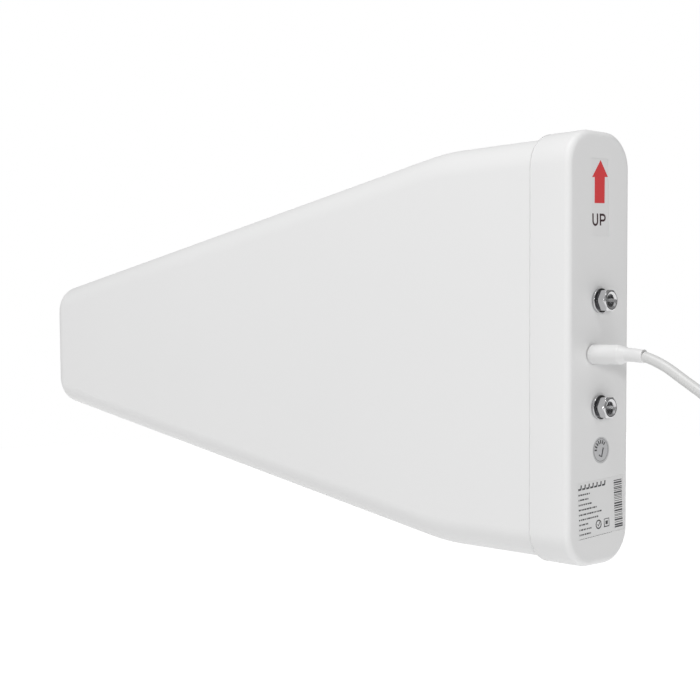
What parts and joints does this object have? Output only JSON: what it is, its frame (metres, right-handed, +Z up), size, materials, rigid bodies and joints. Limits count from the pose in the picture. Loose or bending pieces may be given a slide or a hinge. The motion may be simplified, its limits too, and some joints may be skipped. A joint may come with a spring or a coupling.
{
  "type": "log-periodic antenna",
  "caption": "Flat directional log-periodic antenna in a white tapered radome with a two-screw rear mount and a short coaxial lead.",
  "frame": {"origin": "centre of the flat rear mounting face", "axes": "+X out of the rear mounting face, +Z up as installed, the tip of the radome at -X"},
  "size_m": [0.5858, 0.048, 0.3481],
  "materials": {
    "radome_plastic": "fine satin moulded ABS, UV stable white",
    "seal_rubber": "foam rubber",
    "arrow_label": "clear film with printed red arrow",
    "rating_label": "silver-white polyester film, printed black",
    "foil_sticker": "silver foil sticker",
    "zinc_steel": "zinc plated",
    "spring_steel": "blackened spring steel",
    "plate_aluminium": "milled",
    "boom_aluminium": "extruded",
    "rod_aluminium": "drawn",
    "black_nylon": "moulded nylon",
    "white_foam": "closed cell foam",
    "brass": "tinned at the solder points",
    "inner_conductor": "tinned copper",
    "white_cable": "smooth PVC jacket",
    "white_rubber": "moulded PVC",
    "black_sleeve": "adhesive lined heat shrink",
    "nickel": "nickel plated brass",
    "white_ptfe": "PTFE",
    "gold": "gold plated"
  },
  "bodies": {
    "antenna": {"block_screws": "zinc_steel", "boom_clip_1": "black_nylon", "boom_clip_2": "black_nylon", "boom_clip_3": "black_nylon", "cable_boot": "white_rubber", "cap_seal": "seal_rubber", "connector_body": "nickel", "connector_contact": "gold", "connector_insulator": "white_ptfe", "crimp_ferrule": "nickel", "dipole_01": "rod_aluminium", "dipole_02": "rod_aluminium", "dipole_03": "rod_aluminium", "dipole_04": "rod_aluminium", "dipole_05": "rod_aluminium", "dipole_06": "rod_aluminium", "dipole_07": "rod_aluminium", "dipole_08": "rod_aluminium", "dipole_09": "rod_aluminium", "dipole_10": "rod_aluminium", "feed_coax": "white_cable", "feed_core": "inner_conductor", "feed_screw": "brass", "feed_strip": "brass", "front_foam_block": "white_foam", "front_plug": "boom_aluminium", "inspection_sticker": "foil_sticker", "left_boom": "boom_aluminium", "lower_clinch_nut": "zinc_steel", "middle_foam_block": "white_foam", "mounting_plate": "plate_aluminium", "pigtail_cable": "white_cable", "radome_body": "radome_plastic", "rating_label": "rating_label", "rear_block": "black_nylon", "rear_cap": "radome_plastic", "right_boom": "boom_aluminium", "shrink_sleeve": "black_sleeve", "up_label": "arrow_label", "upper_clinch_nut": "zinc_steel"},
    "upper_washers": {"upper_flat_washer": "zinc_steel", "upper_spring_washer": "spring_steel"},
    "upper_screw": {"upper_mount_screw": "zinc_steel"},
    "lower_washers": {"lower_flat_washer": "zinc_steel", "lower_spring_washer": "spring_steel"},
    "lower_screw": {"lower_mount_screw": "zinc_steel"}
  },
  "joints": [
    {"name": "upper_lift", "type": "slide", "parent": "antenna", "child": "upper_washers", "axis": [1, 0, 0], "range_m": [0, 0.008]},
    {"name": "upper_turn", "type": "hinge", "parent": "upper_washers", "child": "upper_screw", "pos_m": [0, 0, 0.02375], "axis": [1, 0, 0], "range_deg": [0, 2880]},
    {"name": "lower_lift", "type": "slide", "parent": "antenna", "child": "lower_washers", "axis": [1, 0, 0], "range_m": [0, 0.008]},
    {"name": "lower_turn", "type": "hinge", "parent": "lower_washers", "child": "lower_screw", "pos_m": [0, 0, -0.02775], "axis": [1, 0, 0], "range_deg": [0, 2880]}
  ],
  "couplings": [
    {"joint": "upper_turn", "follows": "upper_lift", "rad_per_m": 6283.2},
    {"joint": "lower_turn", "follows": "lower_lift", "rad_per_m": 6283.2}
  ]
}
